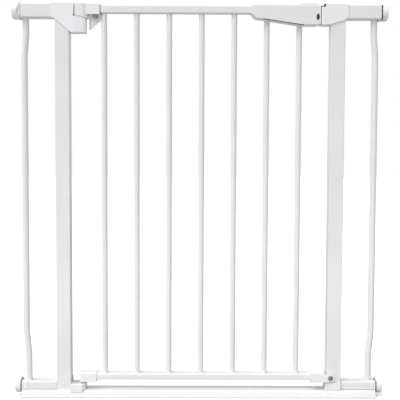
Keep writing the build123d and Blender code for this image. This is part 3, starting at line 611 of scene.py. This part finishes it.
def screws():
    """Every visible screw, with its recess turned as a hand would leave it."""
    turns = iter((0.3, 1.1, 0.75, 0.15, 1.3, 0.55, 0.9, 0.2, 0.66, 0.4))
    covers = Pieces()
    for side, post, cover in ((-1, "left_post", "hinge_housing_cover"),
                              (1, "right_post", "latch_housing_cover")):
        low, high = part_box(post)
        for z in SCREW_Z[side]:
            at = Vector(((low.x + high.x) / 2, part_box(cover)[1].y, z))
            screw(covers, at, (0, 1, 0), COVER_SCREW, next(turns))
    covers.make("cover_screws", "zinc", "frame", "zinc", replaces=("housing_screws",))
    grip = Pieces()
    low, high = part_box("handle_screws")
    for x, z in HANDLE_SCREWS:
        screw(grip, Vector((x, high.y - 1.35 * MM, z)), (0, 1, 0), HANDLE_SCREW, next(turns))
    grip.make("grip_screws", "zinc", "door", "zinc", replaces=("handle_screws",))
    stop = Pieces()
    low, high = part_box("stop_screw")
    at = Vector(((low.x + high.x) / 2, low.y + 1.9 * MM, (low.z + high.z) / 2))
    screw(stop, at, (0, -1, 0), STOP_SCREW, next(turns))
    stop.make("door_stop_screw", "screw_steel", "door", "screw_steel", replaces=("stop_screw",))
    clamp = Pieces()
    low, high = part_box("arm_screws")
    x = (low.x + high.x) / 2
    for y in (low.y + 3.2 * MM, high.y - 3.2 * MM):
        screw(clamp, Vector((x, y, low.z + 3.05 * MM)), (0, 0, -1), CLAMP_SCREW, next(turns))
    clamp.make("clamp_screws", "zinc", "door", "zinc", replaces=("arm_screws",))


# ---- small mouldings, and dark pieces that paint shade -------------------------------------------
def latch_details():
    """Dark shoe on the slide's nose, and a dark liner in the notch that it stands in: both are painted shade
    for the shadowed notch.
    """
    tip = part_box("thumb_slide")[1].x
    # The shoe's dark grey is painted shade in the notch.
    shade_shoe = Pieces()
    rounded_box(shade_shoe, (tip - 5.4 * MM, -NOSE_HALF, NOSE_Z[0]), (tip + 0.15 * MM, NOSE_HALF, NOSE_Z[1]),
                1.2 * MM)
    shade_shoe.make("slide_nose_shade_shoe", "nose_grey", "thumb_slide", "grey_plastic")
    house_low, house_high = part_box("latch_housing")
    skin = 0.3 * MM
    x0, x1 = house_low.x + 0.25 * MM, NOTCH_END_X
    y0, y1 = house_low.y + 1.6 * MM, NOTCH_BACK_Y
    z0, z1 = NOTCH_FLOOR_Z, house_high.z - skin
    half = POCKET_HALF
    # Dark sheet laid where the notch is only in shade: painted shade.
    shade_liner = Pieces()
    for low, high, radius in (
            ((x0, y0, z0), (x1, y1, z0 + skin), 0.2 * MM),                             # floor
            ((x1 - skin, y0, z0), (x1, -half, z1), 0.1 * MM),                          # end, in front
            ((x1 - skin, half, z0), (x1, y1, z1), 0.1 * MM),                           # end, behind
            ((x1 - skin, -half, POCKET_TOP_Z), (x1, half, z1), 0.1 * MM),              # over the pocket
            ((x0, y1 - skin, z0), (x1, y1, z1), 0.1 * MM),                             # back
            ((STEP_X, house_low.y + 1.1 * MM, z0 + 0.1 * MM), (x1, -7.0 * MM, z1), 0.4 * MM)):  # step
        rounded_box(shade_liner, low, high, radius, 2)
    shade_liner.make("notch_shade_liner", "dark_plastic", "frame", "black_rubber")


def gusset_details():
    """Clamp block under the arm, dark grey as painted shade from the arm; a dark ring at the arm's end,
    painted shadow of that end on the rail; and the folded lip of the hinge gusset.
    """
    low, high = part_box("hinge_gusset")
    top = high.z - 0.1 * MM
    # Clamp block, dark grey as painted shade under the arm.
    block = Pieces()
    rounded_box(block, (CLAMP_X[0], -9.4 * MM, high.z - 6.6 * MM), (CLAMP_X[1], 9.4 * MM, top), 1.4 * MM)
    block.make("shaded_arm_clamp", "dark_grey", "door", "grey_plastic")
    arm_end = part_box("upper_hinge_arm")[1].x
    rail_low, rail_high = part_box("door_top_rail")
    gap = 0.05 * MM
    # Dark ring at the arm's end: painted shadow of the arm's end on the rail.
    shade_ring = Pieces()
    hollow_rect(shade_ring, arm_end - 0.2 * MM, arm_end + 0.9 * MM,
                (rail_high.y + gap, rail_low.z - gap, rail_high.z + gap), 1.3 * MM)
    shade_ring.make("arm_end_shade_ring", "dark_grey", "door", "grey_plastic")
    lip = Pieces()
    rounded_box(lip, (low.x, -3.4 * MM, low.z + 0.2 * MM), (low.x + 2.0 * MM, 3.4 * MM, top), 0.7 * MM)
    lip.make("gusset_lip", "grey_plastic", "door", "grey_plastic")


def plate_outline(z0, z1):
    """Square with round corners, as (y, z) points between two heights."""
    outline = []
    for y, upper, start in ((1, True, 0), (-1, True, 90), (-1, False, 180), (1, False, 270)):
        centre_z = z1 - PLATE_INSET - PLATE_CORNER if upper else z0 + PLATE_INSET + PLATE_CORNER
        outline.extend(arc(y * (PLATE_HALF - PLATE_CORNER), centre_z, PLATE_CORNER, start, 90, 6))
    return outline


def hood_outline(top):
    """Arch over a hand nut, out along its outer side and back along its inner one."""
    outline = []
    for half, peak, radius, order in ((PLATE_HALF, top, PLATE_CORNER, 1),
                                      (PLATE_HALF - HOOD_WALL, top - HOOD_WALL, 1.8 * MM, -1)):
        path = [(-half, HOOD_FOOT_Z)]
        for centre, start in ((-half + radius, 180), (half - radius, 90)):
            path.extend(arc(centre, peak - radius, radius, start, -90, 6))
        path.append((half, HOOD_FOOT_Z))
        outline.extend(path[::order])
    return outline


def slab(pieces, mouth, side, outline, start, end):
    """Flat piece of a (y, z) outline, between two depths in mm outwards from a cup's mouth."""
    pieces.loft([[Vector((mouth + side * x * MM, y, z)) for y, z in outline] for x in (start, end)])


def pad_faces():
    """White backing plates behind the black pads, with a hood over each lower hand nut."""
    for corner in ("upper_right", "lower_left", "lower_right"):
        low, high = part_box("wall_pad_" + corner)
        side = 1 if low.x > 0 else -1
        spindle_low, spindle_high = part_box("spindle_" + corner)
        mouth = low.x if side > 0 else high.x
        z0, z1 = PLATE_Z[corner]
        plate = Pieces()
        slab(plate, mouth, side, plate_outline(z0, z1), -0.30, 0.02)
        collar = Vector((mouth + side * 1.86 * MM, 0, (spindle_low.z + spindle_high.z) / 2))
        lathe(plate, collar, (side, 0, 0), [(15.6 * MM, 0.0), (15.75 * MM, 0.06 * MM),
                                            (15.75 * MM, 0.16 * MM), (15.6 * MM, 0.22 * MM)], 64)
        if corner != "upper_right":
            slab(plate, mouth, side, hood_outline(z1 - PLATE_INSET), -3.60, -0.29)
        plate.make("pad_backing_" + corner, "white_plastic", "spindle_" + corner, "white_plastic")


def handle_underside_shade():
    """Dark strip in the parting line under the handle's front edge: painted shade for the shadow under that
    edge.
    """
    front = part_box("handle_shell_front")[0].y
    section = ((0.35, 0.05), (2.6, 0.05), (2.6, -1.0), (0.8, -1.25), (0.35, -1.0))
    strip = Pieces()
    strip.loft([[Vector((x, front + back * MM, z + rise * MM)) for back, rise in section]
                for x, z in HANDLE_EDGE])
    strip.make("handle_edge_shade_strip", "dark_plastic", "door", "black_rubber")


def relief_hole_shade():
    """Dark plug in the relief hole where the slit meets the slanted face: painted shade for the shadow in the
    hole.
    """
    x, z = RELIEF_HOLE
    shade_plug = Pieces()
    lathe(shade_plug, Vector((x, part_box("hinge_housing")[0].y + 1.25 * MM, z)), (0, -1, 0),
          [(1.38 * MM, 0.0), (1.38 * MM, 0.85 * MM), (1.1 * MM, 1.1 * MM)], 28)
    shade_plug.make("relief_hole_shade", "dark_plastic", "frame", "black_rubber")


bpy.context.scene.view_settings.view_transform = "Standard"
make_camera()
make_world()
make_lights()
make_floor()
paint_nodes()
threaded_rods()
welds()
screws()
latch_details()
gusset_details()
pad_faces()
handle_underside_shade()
relief_hole_shade()
